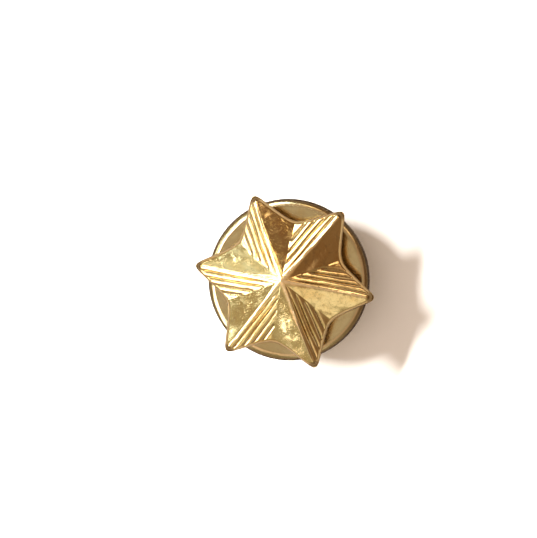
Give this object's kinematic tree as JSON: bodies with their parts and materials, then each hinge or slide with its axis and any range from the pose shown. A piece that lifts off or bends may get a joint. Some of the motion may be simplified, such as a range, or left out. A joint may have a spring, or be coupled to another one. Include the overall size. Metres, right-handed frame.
{
  "type": "star lapel pin with butterfly clutch",
  "caption": "Gold-tone six-pointed faceted star pin, one facet of every ray grooved, on a soldered post held by a sprung butterfly clutch with a round disc.",
  "frame": {"origin": "on the post's axis, at the level of the wing curls that the pin stands on", "axes": "+Z along the post towards the star's apex, +X along the two clutch wings and one ray of the star"},
  "size_m": [0.0126, 0.0114, 0.0099],
  "materials": {
    "star_plate": "stamped, gold plated, worn polish",
    "solder_alloy": "dull grey solder",
    "post_brass": "drawn wire, plain",
    "disc_brass": "polished, tarnished khaki",
    "housing_brass": "pressed sheet",
    "spring_bronze": "spring bronze strip",
    "wing_brass": "pressed sheet"
  },
  "bodies": {
    "star": {"star_face": "star_plate", "solder": "solder_alloy", "post": "post_brass"},
    "clutch": {"clutch_disc": "disc_brass", "clutch_housing": "housing_brass", "jaw_spring": "spring_bronze"},
    "right_wing_lever": {"right_wing": "wing_brass"},
    "left_wing_lever": {"left_wing": "wing_brass"}
  },
  "joints": [
    {"name": "post_slide", "type": "slide", "parent": "clutch", "child": "star", "axis": [0, 0, 1], "range_m": [-0.002, 0.0062]},
    {"name": "right_wing_pinch", "type": "hinge", "parent": "clutch", "child": "right_wing_lever", "pos_m": [0.0025, 0, 0.0029], "axis": [0, 1, 0], "range_deg": [0, 18], "stiffness_Nm_per_rad": 0.05, "deforming": ["jaw_spring"]},
    {"name": "left_wing_pinch", "type": "hinge", "parent": "clutch", "child": "left_wing_lever", "pos_m": [-0.0025, 0, 0.0029], "axis": [0, -1, 0], "range_deg": [0, 18], "stiffness_Nm_per_rad": 0.05}
  ]
}
